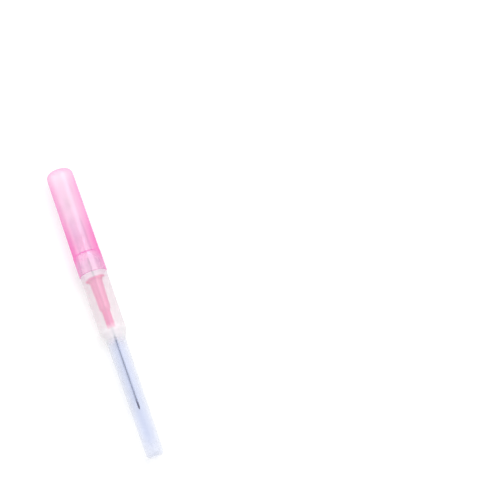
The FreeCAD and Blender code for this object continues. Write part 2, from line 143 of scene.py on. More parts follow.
def add_node(tree: Tree, kind: str, inputs: dict | None = None, **settings: object) -> Node:
    """Adds a node, sets its properties, and sets or links its inputs.

    Args:
        tree: The node tree that the node goes into.
        kind: The node's type, such as "ShaderNodeMixShader".
        inputs: Input names or numbers, each with a value or with the socket to link.
        **settings: Properties of the node itself.

    Returns:
        The new node.
    """
    node = tree.nodes.new(kind)
    for name, value in settings.items():
        setattr(node, name, value)
    for key, value in (inputs or {}).items():
        if isinstance(value, Socket):
            tree.links.new(value, node.inputs[key])
        else:
            node.inputs[key].default_value = value
    return node


def add_object(name: str, data: bpy.types.ID) -> bpy.types.Object:
    """Puts a mesh, a light or a camera into the scene.

    Args:
        name: The new object's name.
        data: What it shows or holds.

    Returns:
        The object.
    """
    made = bpy.data.objects.new(name, data)
    bpy.context.scene.collection.objects.link(made)
    return made


@dataclass(frozen=True)
class CaseAxis:
    """The line that every piece is turned about.

    Attributes:
        start: Its point at the sheath's closed end, in metres in the row frame.
        along: Unit vector from there towards the cap.
    """

    start: Vector
    along: Vector

    @classmethod
    def from_frame(cls, frame: dict, case_length: float) -> CaseAxis:
        """Reads the axis from the mount on the cap's end.

        Args:
            frame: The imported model's nodes and its record.
            case_length: Length of the closed case, in millimetres.

        Returns:
            The case axis.
        """
        mount = frame["record"]["mounts"][0]
        along = Vector(mount["axis"]).normalized()
        return cls(Vector(mount["pos_m"]) - along * case_length * MM, along)

    def matrix(self) -> Matrix:
        """Takes a piece from its own millimetres, with Y along the axis, to the row frame.

        Returns:
            The matrix that does so.
        """
        side = Vector((1, 0, 0))
        turned = Matrix((side, self.along, side.cross(self.along))).transposed()
        return Matrix.Translation(self.start) @ turned.to_4x4() @ Matrix.Scale(MM, 4)


@dataclass(frozen=True)
class Corner:
    """A corner of a turned outline, in millimetres.

    Attributes:
        station: How far along the case axis it is.
        radius: How far from the axis it is.
        rounding: Radius of the arc that rounds it, or zero for a sharp one.
    """

    station: float
    radius: float
    rounding: float = 0.0


def rounded_outline(corners: list[Corner]) -> list[tuple[float, float]]:
    """Rounds the corners of a closed outline by arcs.

    Args:
        corners: The outline's corners in order.

    Returns:
        Points (station, radius) of the rounded outline.
    """
    points = []
    for i, corner in enumerate(corners):
        here = Vector((corner.station, corner.radius))
        if not corner.rounding:
            points.append((here.x, here.y))
            continue
        before, after = corners[i - 1], corners[(i + 1) % len(corners)]
        back = Vector((before.station, before.radius)) - here
        ahead = Vector((after.station, after.radius)) - here
        half = back.angle(ahead) / 2
        most = min(back.length, ahead.length) * MAX_SHARE
        reach = min(corner.rounding / math.tan(half), most)
        arc = reach * math.tan(half)
        centre = here + (back.normalized() + ahead.normalized()).normalized() * arc / math.sin(half)
        first = here + back.normalized() * reach - centre
        last = here + ahead.normalized() * reach - centre
        turn = first.angle_signed(last)
        steps = max(2, math.ceil(abs(turn) / ARC_STEP))
        for k in range(steps + 1):
            spoke = Matrix.Rotation(-turn * k / steps, 2) @ first
            points.append((centre.x + spoke.x, centre.y + spoke.y))
    return points


def finish_mesh(mesh: Mesh) -> None:
    """Turns the faces outwards and shades them smooth up to a sharp angle.

    Args:
        mesh: The mesh to finish.
    """
    solid = bmesh.new()
    solid.from_mesh(mesh)
    bmesh.ops.recalc_face_normals(solid, faces=solid.faces)
    solid.to_mesh(mesh)
    solid.free()
    mesh.shade_smooth()
    mesh.set_sharp_from_angle(angle=TURNED_SHARP)


def covered_parts(outline: list[tuple[float, float]]) -> list[bool]:
    """Finds which edges of a closed outline face a bore or a recess.

    An edge does where more of the outline lies further from the axis at its station. An
    edge square to the axis is tested a little way out of the material that it closes.

    Args:
        outline: Points (station, radius) of the outline.

    Returns:
        For each edge, from a point to the next, whether it faces inwards.
    """
    edges = list(zip(outline, outline[1:] + outline[:1]))
    area = sum(a[0] * b[1] - b[0] * a[1] for a, b in edges)
    nudge = 0.001
    covered = []
    for a, b in edges:
        station, radius = (a[0] + b[0]) / 2, (a[1] + b[1]) / 2
        if abs(b[0] - a[0]) < nudge:
            station += math.copysign(nudge, (b[1] - a[1]) * area)
        beyond = False
        for c, d in edges:
            if (c[0] - station) * (d[0] - station) < 0:
                share = (station - c[0]) / (d[0] - c[0])
                beyond = beyond or c[1] + share * (d[1] - c[1]) > radius + nudge
        covered.append(beyond)
    return covered


def turned_mesh(name: str, corners: list[Corner], segments: int = 112) -> Mesh:
    """Turns a closed outline about the Y axis, with closed poles where it meets the axis.

    Its faces in bores and recesses carry the attribute BORE_FACES, which finishes read.

    Args:
        name: The mesh's name.
        corners: The outline's corners in order, in millimetres.
        segments: Facets round the axis.

    Returns:
        The mesh, in millimetres.
    """
    verts, faces, rings, inward = [], [], [], []
    outline = rounded_outline(corners)
    covered = covered_parts(outline)
    for station, radius in outline:
        count = segments if radius > 0 else 1
        rings.append(range(len(verts), len(verts) + count))
        for k in range(count):
            angle = math.tau * k / segments
            verts.append((radius * math.cos(angle), station, radius * math.sin(angle)))
    for i, ring in enumerate(rings):
        other = rings[(i + 1) % len(rings)]
        if len(ring) == len(other) == 1:
            continue
        for k in range(segments):
            m = (k + 1) % segments
            face = [ring[k % len(ring)], ring[m % len(ring)]]
            face += [other[m % len(other)], other[k % len(other)]]
            faces.append(list(dict.fromkeys(face)))
            inward.append(float(covered[i]))
    mesh = bpy.data.meshes.new(name)
    mesh.from_pydata(verts, [], faces)
    finish_mesh(mesh)
    mesh.attributes.new(BORE_FACES, "FLOAT", "FACE").data.foreach_set("value", inward)
    return mesh


def block_mesh(name: str, corners: list[tuple[float, float]], low: float, high: float) -> Mesh:
    """Extrudes a flat outline in the XY plane from one height to another.

    Args:
        name: The mesh's name.
        corners: The outline's corners (x, station), in millimetres.
        low: Z of its lower face.
        high: Z of its upper face.

    Returns:
        The mesh, in millimetres.
    """
    count = len(corners)
    verts = [(x, y, z) for z in (low, high) for x, y in corners]
    faces = [list(range(count)), list(range(count, 2 * count))]
    for k in range(count):
        m = (k + 1) % count
        faces.append([k, m, m + count, k + count])
    mesh = bpy.data.meshes.new(name)
    mesh.from_pydata(verts, [], faces)
    finish_mesh(mesh)
    return mesh


@dataclass
class Bench:
    """What every sub-assembly needs to put its pieces in place.

    Attributes:
        axis: The case axis.
        materials: Finished materials by their slot's name.
        frame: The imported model's nodes and its record.
    """

    axis: CaseAxis
    materials: dict[str, Material]
    frame: dict

    def place(self, mesh: Mesh, slot: str, body: str, *nodes: str) -> None:
        """Puts a finished mesh on the case axis, paints it and lets it ride on its body.

        Args:
            mesh: A mesh in millimetres, with Y along the axis.
            slot: The material slot it takes its finish from.
            body: The moving body that carries it.
            *nodes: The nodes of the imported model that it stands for.
        """
        mesh.transform(self.axis.matrix())
        piece = add_object(mesh.name, mesh)
        mesh.materials.clear()
        mesh.materials.append(self.materials[slot])
        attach(piece, body)
        if nodes:
            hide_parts(*nodes)
        LOG.info("%s: %d faces on %s", mesh.name, len(mesh.polygons), body)

    def paint(self, node: str, slot: str) -> None:
        """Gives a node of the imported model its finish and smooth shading.

        Args:
            node: The node's name.
            slot: The material slot.
        """
        piece = self.frame["nodes"][node]
        piece.data.materials.clear()
        piece.data.materials.append(self.materials[slot])
        piece.data.shade_smooth()
        piece.data.set_sharp_from_angle(angle=PACKED_SHARP)
        LOG.info("%s: painted %s", node, slot)


def run_geometry_nodes(tree: Tree, mesh: Mesh, values: dict) -> Mesh:
    """Runs a geometry tree on a mesh and returns what it makes as a plain mesh.

    Args:
        tree: The geometry node tree.
        mesh: The mesh that goes in.
        values: Values of the tree's named inputs.

    Returns:
        A new plain mesh with the given mesh's name.
    """
    holder = add_object(mesh.name, mesh)
    modifier = holder.modifiers.new("repeat", "NODES")
    modifier.node_group = tree
    for item in tree.interface.items_tree:
        if item.item_type == "SOCKET" and item.in_out == "INPUT" and item.name in values:
            modifier[item.identifier] = values[item.name]
    graph = bpy.context.evaluated_depsgraph_get()
    made = bpy.data.meshes.new_from_object(holder.evaluated_get(graph))
    holder.modifiers.clear()
    name = mesh.name
    bpy.data.objects.remove(holder)
    bpy.data.meshes.remove(mesh)
    made.name = name
    return made


def geometry_tree(name: str, inputs: dict[str, str]) -> tuple[Tree, Node, Node]:
    """Starts a geometry tree with named inputs.

    Args:
        name: The tree's name.
        inputs: Input names with their socket types.

    Returns:
        The tree, its input node and its output node.
    """
    tree = bpy.data.node_groups.new(name, "GeometryNodeTree")
    for label, kind in {"Geometry": "NodeSocketGeometry", **inputs}.items():
        tree.interface.new_socket(label, in_out="INPUT", socket_type=kind)
    tree.interface.new_socket("Geometry", in_out="OUTPUT", socket_type="NodeSocketGeometry")
    return tree, add_node(tree, "NodeGroupInput"), add_node(tree, "NodeGroupOutput")


def end_tree(tree: Tree, geometry: Socket, source: Node, sink: Node) -> None:
    """Ends a geometry tree with real geometry and its material.

    Args:
        tree: The tree.
        geometry: The socket that carries the instances.
        source: The tree's input node, with a Material input.
        sink: The tree's output node.
    """
    real = add_node(tree, "GeometryNodeRealizeInstances", {"Geometry": geometry})
    inputs = {"Geometry": real.outputs[0], "Material": source.outputs["Material"]}
    painted = add_node(tree, "GeometryNodeSetMaterial", inputs)
    tree.links.new(painted.outputs[0], sink.inputs[0])


def ring_tree() -> Tree:
    """Geometry tree that repeats its input evenly round the Y axis.

    Returns:
        The tree, with the inputs Geometry, Count and Material.
    """
    inputs = {"Count": "NodeSocketInt", "Material": "NodeSocketMaterial"}
    tree, source, sink = geometry_tree("repeat_round_axis", inputs)
    points = add_node(tree, "GeometryNodePoints", {"Count": source.outputs["Count"]})
    index = add_node(tree, "GeometryNodeInputIndex")
    terms = {0: index.outputs[0], 1: source.outputs["Count"]}
    share = add_node(tree, "ShaderNodeMath", terms, operation="DIVIDE")
    terms = {0: share.outputs[0], 1: math.tau}
    angle = add_node(tree, "ShaderNodeMath", terms, operation="MULTIPLY")
    turn = add_node(tree, "ShaderNodeCombineXYZ", {"Y": angle.outputs[0]})
    what = {
        "Points": points.outputs[0],
        "Instance": source.outputs["Geometry"],
        "Rotation": turn.outputs[0],
    }
    copies = add_node(tree, "GeometryNodeInstanceOnPoints", what)
    end_tree(tree, copies.outputs[0], source, sink)
    return tree


def grain_tree() -> Tree:
    """Geometry tree that covers its input with sintered grains of uneven size.

    Returns:
        The tree, with the inputs Geometry, Density, Grain, Seed and Material.
    """
    inputs = {
        "Density": "NodeSocketFloat",
        "Grain": "NodeSocketFloat",
        "Seed": "NodeSocketInt",
        "Material": "NodeSocketMaterial",
    }
    tree, source, sink = geometry_tree("sintered_grains", inputs)
    names = ("Geometry", "Density", "Grain", "Seed")
    rod, density, grain, seed = (source.outputs[name] for name in names)
    where = {"Mesh": rod, "Density": density, "Seed": seed}
    points = add_node(tree, "GeometryNodeDistributePointsOnFaces", where)
    ball = add_node(tree, "GeometryNodeMeshIcoSphere", {"Radius": grain, "Subdivisions": 2})
    spread = {2: GRAIN_SPREAD[0], 3: GRAIN_SPREAD[1], "Seed": seed}
    uneven = add_node(tree, "FunctionNodeRandomValue", spread, data_type="FLOAT")
    what = {"Points": points.outputs[0], "Instance": ball.outputs[0], "Scale": uneven.outputs[1]}
    grains = add_node(tree, "GeometryNodeInstanceOnPoints", what)
    both = add_node(tree, "GeometryNodeJoinGeometry")
    tree.links.new(grains.outputs[0], both.inputs[0])
    tree.links.new(rod, both.inputs[0])
    end_tree(tree, both.outputs[0], source, sink)
    return tree


@dataclass(frozen=True)
class Clarity:
    """How a plastic wall lets light through and how it scatters it.

    Attributes:
        tint: Colour of light that goes straight through a wall seen square on.
        edge_tint: Its colour where the wall is seen edge on, through more plastic.
        milk: Colour of light that the wall scatters where it is seen square on.
        edge_milk: Its colour where the wall is seen edge on.
        haze: Share of light that the wall scatters where it is seen square on.
        edge_haze: Share that it scatters where it is seen edge on.
    """

    tint: str
    edge_tint: str
    milk: str
    edge_milk: str
    haze: float
    edge_haze: float


@dataclass(frozen=True)
class Zone:
    """A stretch of the case over which a plastic changes to another clarity.

    Attributes:
        start: Station where the change begins, in millimetres.
        end: Station where it is complete.
        clarity: The clarity from there on.
    """

    start: float
    end: float
    clarity: Clarity


@dataclass(frozen=True)
class Plastic:
    """A see-through moulded plastic.

    Attributes:
        slot: Material slot's name.
        made_of: What it really is and how its skin was made, which names the material.
        near: Its clarity, or that before its first zone.
        roughness: Roughness of the moulded skin.
        grain: Width of the skin's fine unevenness, in millimetres.
        relief: Height of that unevenness, in millimetres.
        through: Share of the scattered light that goes on through the wall.
        zones: Where its clarity changes along the case, in order.
        reach: How far the edge-on look reaches towards the middle, from 0 to 1.
        seam: Station of a step in the wall, which shows as a deeper line, if it has one.
        shiny_bore: Whether its bores glint, as polished cores leave them.
    """

    slot: str
    made_of: str
    near: Clarity
    roughness: float
    grain: float
    relief: float
    through: float = 0.5
    zones: tuple[Zone, ...] = ()
    reach: float = 0.4
    seam: float | None = None
    shiny_bore: bool = False


# Polypropylene from a spark-eroded mould: a soft haze, bluish on the slim barrel, that dims
# what lies inside, with no sharp highlight. The shoulder and the spigot are the milkiest.
# The frosting is about 0.05 mm wide and is drawn seven times as coarse, so that it shows.
FROSTED_SHEATH = Plastic(
    slot="frosted_sheath",
    made_of="frosted moulded polypropylene",
    near=Clarity("#EDF0F9", "#F9FAFE", "#FCFCFF", "#FCFCFF", 0.27, 0.16),
    roughness=0.42,
    grain=0.35,
    relief=0.012,
    through=0.3,
    reach=0.82,
    zones=(
        Zone(1.5, 9.0, Clarity("#E6EAF7", "#FAFBFE", "#F6F8FD", "#FAFBFF", 0.12, 0.20)),
        Zone(46.0, 49.5, Clarity("#FCFAFF", "#FFFFFF", "#FFFDFF", "#FFFFFF", 0.74, 0.42)),
        Zone(51.0, 54.0, Clarity("#FCFBFC", "#FDFCFD", "#FDFCFD", "#FEFCFD", 0.30, 0.32)),
        Zone(72.4, 73.6, Clarity("#FFFFFF", "#FAF9FB", "#FFFEFF", "#FCFBFD", 0.60, 0.50)),
    ),
)
# Tinted polypropylene from a polished mould: clear pink that deepens at its edges and at the
# seam, where light crosses more plastic, with soft highlights. The grain is the gentle
# waviness of its skin, at its real size.
PINK_CAP = Plastic(
    slot="pink_cap",
    made_of="tinted moulded polypropylene",
    near=Clarity("#FFFAFD", "#FFC8EC", "#FFD6EE", "#FFACE0", 0.22, 0.38),
    roughness=0.24,
    grain=1.6,
    relief=0.01,
    through=0.4,
    reach=0.66,
    zones=(
        Zone(79.0, 83.4, Clarity("#FFF8FC", "#FF96DE", "#FFCCE9", "#FF80D0", 0.28, 0.48)),
        Zone(85.0, 104.0, Clarity("#FFFAFD", "#FFC6EA", "#FFE9F4", "#FFB4E4", 0.38, 0.48)),
        Zone(111.0, 117.0, Clarity("#FFFCFE", "#FFD6F0", "#FFF0F8", "#FFCCEA", 0.42, 0.48)),
    ),
    seam=83.45,
)
# Strongly tinted polypropylene: nearly opaque pink, a little lighter on the hub's body than
# on its nose and its collar, with a gloss that the case softens.
HUB_PINK = Clarity("#FF90CE", "#FF60BC", "#FF70C0", "#FF5CB4", 0.82, 0.94)
HUB_BODY_PINK = Clarity("#FFA8D8", "#FF84C8", "#FF94CC", "#FF84C4", 0.82, 0.94)
PINK_HUB = Plastic(
    slot="pink_hub",
    made_of="coloured moulded polypropylene",
    near=HUB_PINK,
    roughness=0.22,
    grain=0.8,
    relief=0.006,
    through=0.25,
    zones=(Zone(59.4, 60.4, HUB_BODY_PINK), Zone(72.4, 72.9, HUB_PINK)),
)
# Clear polycarbonate from a polished mould: almost invisible but for its greyed outline and
# the sharp glints on its skin and in its bores.
CLEAR_HUB = Plastic(
    slot="clear_hub",
    made_of="clear moulded polycarbonate",
    near=Clarity("#FEFEFF", "#DACFE2", "#FAFAFE", "#FAFAFE", 0.04, 0.12),
    roughness=0.08,
    grain=1.2,
    relief=0.004,
    shiny_bore=True,
)
# Unfilled polypropylene from a blasted mould: milky and matt, lighter than what is behind it.
# Its frosting is drawn six times as coarse as the real one, so that it shows.
FROSTED_PLUG = Plastic(
    slot="frosted_plug",
    made_of="matt moulded polypropylene",
    near=Clarity("#FEFEFF", "#F0ECF6", "#FDFDFF", "#F4F2FA", 0.36, 0.46),
    roughness=0.38,
    grain=0.3,
    relief=0.01,
    through=0.4,
)
# Extruded fluoropolymer: clear at its thin tip, and milky at its edges behind it, so that the
# needle shows as a dark line inside a pale one.
TUBING = Plastic(
    slot="catheter_tubing",
    made_of="extruded fluoropolymer",
    near=Clarity("#FAFBFE", "#DCE2F2", "#EEF2FA", "#EEF2FA", 0.02, 0.10),
    roughness=0.20,
    grain=0.5,
    relief=0.002,
    through=0.3,
    reach=0.93,
    zones=(Zone(21.1, 24.3, Clarity("#FAFBFE", "#DCE2F2", "#EEF2FA", "#EEF2FA", 0.04, 0.9)),),
)
# Adhesive cured under a lamp: a clear, slightly yellow bead with a wet gloss.
ADHESIVE = Plastic(
    slot="cured_adhesive",
    made_of="cured acrylic adhesive",
    near=Clarity("#FAF9F4", "#F4F2E8", "#F6F4EC", "#F6F4EC", 0.15, 0.40),
    roughness=0.12,
    grain=0.6,
    relief=0.01,
)
PLASTICS = (FROSTED_SHEATH, PINK_CAP, PINK_HUB, CLEAR_HUB, FROSTED_PLUG, TUBING, ADHESIVE)


@dataclass(frozen=True)
class DrawnSteel:
    """Bright-drawn stainless steel tube: highlights drawn out by marks, reflections painted dark
    and bluish.

    Attributes:
        slot: Material slot's name.
        made_of: What it really is and how its skin was made, which names the material.
        colour: Colour of its reflections, painted dark and bluish: a painted reflection.
        mark: Width of a drawing mark, in millimetres. A real one is a few micrometres wide
            and is drawn ten times as coarse, so that it shows.
        stretch: A mark's width as a share of its length.
        roughness: Least and greatest roughness.
    """

    slot: str = "stainless_steel"
    made_of: str = "drawn stainless steel"
    # Painted reflection: the steel's reflections are painted this dark bluish colour.
    colour: str = "#1E2350"
    mark: float = 0.05
    stretch: float = 0.04
    roughness: tuple[float, float] = (0.22, 0.42)


@dataclass(frozen=True)
class SinteredPolyethylene:
    """Porous polyethylene, sintered from grains: dull white, with painted shade darkening the pores
    between them.

    Attributes:
        slot: Material slot's name.
        made_of: What it really is and how it was made, which names the material.
        grain_colour: Colour in the middle of a grain.
        painted_pore_shade: Colour between the grains.
        grain: Distance between grains, in millimetres.
        pore_depth: Depth of the pores, in millimetres.
        roughness: Its roughness.
    """

    slot: str = "porous_filter"
    made_of: str = "sintered porous polyethylene"
    grain_colour: str = "#FFFDFD"
    # Painted shade: the pores between the grains are painted this darker colour.
    painted_pore_shade: str = "#D2CED0"
    grain: float = 0.18
    pore_depth: float = 0.05
    roughness: float = 0.9


STEEL = DrawnSteel()
FILTER = SinteredPolyethylene()


def start_material(name: str) -> tuple[Material, Tree, Node]:
    """Makes an empty node material.

    Args:
        name: The material's name.

    Returns:
        The material, its node tree and its output node.
    """
    material = bpy.data.materials.new(name)
    material.use_nodes = True
    tree = material.node_tree
    tree.nodes.clear()
    return material, tree, add_node(tree, "ShaderNodeOutputMaterial")


def place_along(tree: Tree, axis: CaseAxis, stations: tuple[float, float]) -> Socket:
    """How far a point is between two stations of the case axis, from 0 to 1.

    Args:
        tree: The material's node tree.
        axis: The case axis.
        stations: Where the range begins and ends, in millimetres.

    Returns:
        The socket that carries the share.
    """
    where = add_node(tree, "ShaderNodeTexCoord")
    terms = {0: where.outputs["Object"], 1: axis.along}
    along = add_node(tree, "ShaderNodeVectorMath", terms, operation="DOT_PRODUCT")
    first, last = (axis.start.dot(axis.along) + station * MM for station in stations)
    values = {"Value": along.outputs["Value"], "From Min": first, "From Max": last}
    share = add_node(tree, "ShaderNodeMapRange", values, interpolation_type="SMOOTHSTEP")
    return share.outputs["Result"]


def seam_line(tree: Tree, axis: CaseAxis, station: float) -> Socket:
    """A narrow ring round the case axis, 1 in its middle and 0 beside it.

    Args:
        tree: The material's node tree.
        axis: The case axis.
        station: Where the ring is, in millimetres.

    Returns:
        The socket that carries it.
    """
    up = place_along(tree, axis, (station - SEAM_HALF, station))
    down = place_along(tree, axis, (station, station + SEAM_HALF))
    ring = add_node(tree, "ShaderNodeMath", {0: up, 1: down}, operation="SUBTRACT")
    return ring.outputs[0]


def skin_relief(tree: Tree, grain: float, relief: float) -> Socket:
    """Fine unevenness of a moulded skin, which breaks up its highlights.

    Args:
        tree: The material's node tree.
        grain: Width of the unevenness, in millimetres.
        relief: Its height, in millimetres.

    Returns:
        The socket that carries the bent normal.
    """
    where = add_node(tree, "ShaderNodeTexCoord")
    values = {"Vector": where.outputs["Object"], "Scale": 1 / (grain * MM), "Detail": 2.0}
    noise = add_node(tree, "ShaderNodeTexNoise", values)
    values = {"Height": noise.outputs["Fac"], "Strength": 1.0, "Distance": relief * MM}
    bump = add_node(tree, "ShaderNodeBump", values)
    return bump.outputs["Normal"]


def blend(tree: Tree, share: Value, first: Value, second: Value) -> Socket:
    """Blends two numbers or two colours by a share.

    Args:
        tree: The material's node tree.
        share: Number or socket from 0, for the first, to 1, for the second.
        first: A number, an RGBA colour or a socket that carries one of the two.
        second: The other one, of the same kind.

    Returns:
        The socket that carries the blend.
    """
    number = isinstance(second, float) or getattr(second, "type", "") == "VALUE"
    kind, at = ("FLOAT", 2) if number else ("RGBA", 6)
    mix = add_node(tree, "ShaderNodeMix", {0: share, at: first, at + 1: second}, data_type=kind)
    return mix.outputs[0 if number else 2]


def mix_shaders(tree: Tree, share: Value, first: Socket, second: Socket) -> Socket:
    """Blends two shaders by a share, and returns the socket that carries the blend."""
    mix = add_node(tree, "ShaderNodeMixShader", {0: share, 1: first, 2: second})
    return mix.outputs[0]


def clarity_sockets(tree: Tree, edge_on: Socket, clarity: Clarity) -> tuple[Socket, ...]:
    """Blends a clarity's values from a wall seen square on to one seen edge on.

    Args:
        tree: The material's node tree.
        edge_on: Socket that is 1 where the wall is seen edge on.
        clarity: The values.

    Returns:
        The sockets of its tint, its milk and its haze.
    """
    return (
        blend(tree, edge_on, linear(clarity.tint), linear(clarity.edge_tint)),
        blend(tree, edge_on, linear(clarity.milk), linear(clarity.edge_milk)),
        blend(tree, edge_on, clarity.haze, clarity.edge_haze),
    )


def plastic_material(look: Plastic, axis: CaseAxis) -> Material:
    """See-through moulded plastic: a clear share, a milky share and a glossy skin.

    The clear share lets the pieces inside show, and the milky share scatters light. Where
    a wall is seen edge on, more plastic lies behind each point, so both change there and a
    thin tube gets its soft outline. Each wall counts once, on its outside: a bore's face
    is clear, or only glints, so that no hard line shows where the wall ends.

    Args:
        look: The plastic's values.
        axis: The case axis.

    Returns:
        The material.
    """
    material, tree, output = start_material(look.made_of)
    normal = skin_relief(tree, look.grain, look.relief)
    weight = add_node(tree, "ShaderNodeLayerWeight", {"Blend": look.reach})
    edge_on = weight.outputs["Facing"]
    if look.seam:
        ring = seam_line(tree, axis, look.seam)
        deeper = add_node(tree, "ShaderNodeMath", {0: edge_on, 1: ring}, operation="MAXIMUM")
        edge_on = deeper.outputs[0]
    tint, milk, haze = clarity_sockets(tree, edge_on, look.near)
    for zone in look.zones:
        share = place_along(tree, axis, (zone.start, zone.end))
        ahead = clarity_sockets(tree, edge_on, zone.clarity)
        tint, milk, haze = (blend(tree, share, *pair) for pair in zip((tint, milk, haze), ahead))
    clear = add_node(tree, "ShaderNodeBsdfTransparent", {"Color": tint})
    rough = {"Roughness": look.roughness, "Normal": normal}
    skin = add_node(tree, "ShaderNodeBsdfGlossy", rough)
    fresnel = add_node(tree, "ShaderNodeFresnel", {"IOR": PLASTIC_IOR, "Normal": normal})
    leaving = add_node(tree, "ShaderNodeNewGeometry").outputs["Backfacing"]
    gloss = blend(tree, leaving, fresnel.outputs[0], 0.0)
    glazed = mix_shaders(tree, gloss, clear.outputs[0], skin.outputs[0])
    values = {"Base Color": milk, "IOR": PLASTIC_IOR, **rough}
    lit = add_node(tree, "ShaderNodeBsdfPrincipled", values)
    through = add_node(tree, "ShaderNodeBsdfTranslucent", {"Color": milk, "Normal": normal})
    milky = mix_shaders(tree, look.through, lit.outputs[0], through.outputs[0])
    wall = mix_shaders(tree, haze, glazed, milky)
    bore = add_node(tree, "ShaderNodeBsdfTransparent").outputs[0]
    if look.shiny_bore:
        bore = mix_shaders(tree, gloss, bore, skin.outputs[0])
    inward = add_node(tree, "ShaderNodeAttribute", attribute_name=BORE_FACES).outputs["Fac"]
    whole = mix_shaders(tree, inward, wall, bore)
    tree.links.new(whole, output.inputs["Surface"])
    return material


def steel_material(look: DrawnSteel) -> Material:
    """Drawn metal: fine marks along the tube vary its roughness and stretch its highlights.

    Args:
        look: The steel's values.

    Returns:
        The material.
    """
    material, tree, output = start_material(look.made_of)
    where = add_node(tree, "ShaderNodeTexCoord").outputs["Object"]
    values = {"Vector": where, "Scale": Vector((1, look.stretch, 1)) / (look.mark * MM)}
    spin = add_node(tree, "ShaderNodeMapping", values)
    values = {"Vector": spin.outputs[0], "Scale": 1.0, "Detail": 3.0}
    drawn = add_node(tree, "ShaderNodeTexNoise", values)
    least, most = look.roughness
    values = {"Value": drawn.outputs["Fac"], "To Min": least, "To Max": most}
    rough = add_node(tree, "ShaderNodeMapRange", values).outputs["Result"]
    # Painted reflection: the dark bluish base colour paints the steel's reflections dark.
    values = {"Base Color": linear(look.colour), "Metallic": 1.0, "Roughness": rough}
    steel = add_node(tree, "ShaderNodeBsdfPrincipled", values)
    tree.links.new(steel.outputs[0], output.inputs["Surface"])
    return material


def filter_material(look: SinteredPolyethylene) -> Material:
    """Sintered grains with pores sunk between them, darkened by painted shade.

    Args:
        look: The filter's values.

    Returns:
        The material.
    """
    material, tree, output = start_material(look.made_of)
    where = add_node(tree, "ShaderNodeTexCoord").outputs["Object"]
    values = {"Vector": where, "Scale": 1 / (look.grain * MM)}
    pores = add_node(tree, "ShaderNodeTexVoronoi", values).outputs["Distance"]
    # Painted shade: the colour darkens from the grains' middles into the pores between them.
    shade = add_node(tree, "ShaderNodeValToRGB", {"Fac": pores})
    for element, colour in zip(shade.color_ramp.elements, (look.grain_colour, look.painted_pore_shade)):
        element.color = linear(colour)
    values = {"Height": pores, "Strength": 1.0, "Distance": look.pore_depth * MM}
    bump = add_node(tree, "ShaderNodeBump", values, invert=True).outputs["Normal"]
    values = {"Base Color": shade.outputs["Color"], "Roughness": look.roughness, "Normal": bump}
    porous = add_node(tree, "ShaderNodeBsdfPrincipled", values)
    tree.links.new(porous.outputs[0], output.inputs["Surface"])
    return material


@dataclass(frozen=True)
class Stations:
    """Stations on the case axis that several pieces share, in millimetres.

    Attributes:
        barrel_end: Where the slim barrel ends.
        shoulder_back: Where the shoulder has reached the wide barrel.
        mouth: The cap's mouth, and the wide barrel's end.
        disc_seat: Seat of the grip disc.
        spigot_top: The spigot's end, and the cap's seam.
        hub_nose: Front of the pink hub.
        hub_mouth: Its back.
        chamber_mouth: Back of the flash chamber.
        plug_shoulder: Front of the plug's body.
        case_end: The cap's closed end.
    """

    barrel_end: float = 47.4
    shoulder_back: float = 50.9
    mouth: float = 75.35
    disc_seat: float = 79.5
    spigot_top: float = 83.4
    hub_nose: float = 52.7
    hub_mouth: float = 73.6
    chamber_mouth: float = 97.6
    plug_shoulder: float = 98.3
    case_end: float = 119.3


@dataclass
class SubAssembly:
    """A part of the unit that is made and put in place by itself.

    Attributes:
        bench: Puts its pieces in place.
        at: The shared stations.
    """

    bench: Bench
    at: Stations

    def build(self) -> None:
        """Makes its pieces; each sub-assembly has its own."""
        raise NotImplementedError


@dataclass
class ProtectiveSheath(SubAssembly):
    """Frosted sheath: a slim barrel over the needle, a wide one over the hub, a spigot.

    Attributes:
        end_radius: Outside radius at the closed end.
        barrel_radius: Outside radius at the slim barrel's back.
        main_radius: Outside radius of the wide barrel.
        spigot_radius: Outside radius of the spigot.
        slim_bore: Radius of the slim barrel's bore.
        main_bore: Radius of the wide barrel's bore.
        seat_bore: Radius of the counterbore that takes the grip disc.
        gate_radius: Radius of the shallow recess in the closed end.
        gate_depth: Its depth.
        end_wall: Thickness of the closed end.
        setback: How much later the bore widens than the outside.
        end_round: Rounding of the closed end.
        neck_round: Rounding where the slim barrel meets the shoulder.
        shoulder_round: Rounding where the shoulder meets the wide barrel.
        bore_round: Rounding of the bore along the shoulder.
        floor_round: Rounding of the bore's floor.
    """

    end_radius: float = 3.35
    barrel_radius: float = 3.75
    main_radius: float = 5.2
    spigot_radius: float = 4.75
    slim_bore: float = 2.45
    main_bore: float = 3.98
    seat_bore: float = 4.25
    gate_radius: float = 1.65
    gate_depth: float = 0.3
    end_wall: float = 1.8
    setback: float = 0.55
    end_round: float = 1.5
    neck_round: float = 6.0
    shoulder_round: float = 2.2
    bore_round: float = 1.6
    floor_round: float = 1.2

    def build(self) -> None:
        """Turns the sheath's wall as one shell."""
        at = self.at
        corners = [
            Corner(self.gate_depth, 0),
            Corner(self.gate_depth, self.gate_radius, 0.12),
            Corner(0, self.gate_radius, 0.12),
            Corner(0, self.end_radius, self.end_round),
            Corner(at.barrel_end, self.barrel_radius, self.neck_round),
            Corner(at.shoulder_back, self.main_radius, self.shoulder_round),
            Corner(at.mouth, self.main_radius, 0.15),
            Corner(at.mouth, self.spigot_radius),
            Corner(at.spigot_top, self.spigot_radius, 0.3),
            Corner(at.spigot_top, self.seat_bore, 0.1),
            Corner(at.disc_seat, self.seat_bore),
            Corner(at.disc_seat, self.main_bore),
            Corner(at.shoulder_back + self.setback, self.main_bore, self.bore_round),
            Corner(at.barrel_end + self.setback, self.slim_bore, self.bore_round),
            Corner(self.end_wall, self.slim_bore, self.floor_round),
            Corner(self.end_wall, 0),
        ]
        mesh = turned_mesh("sheath_shell", corners)
        self.bench.place(mesh, FROSTED_SHEATH.slot, "sheath", "protective_sheath")


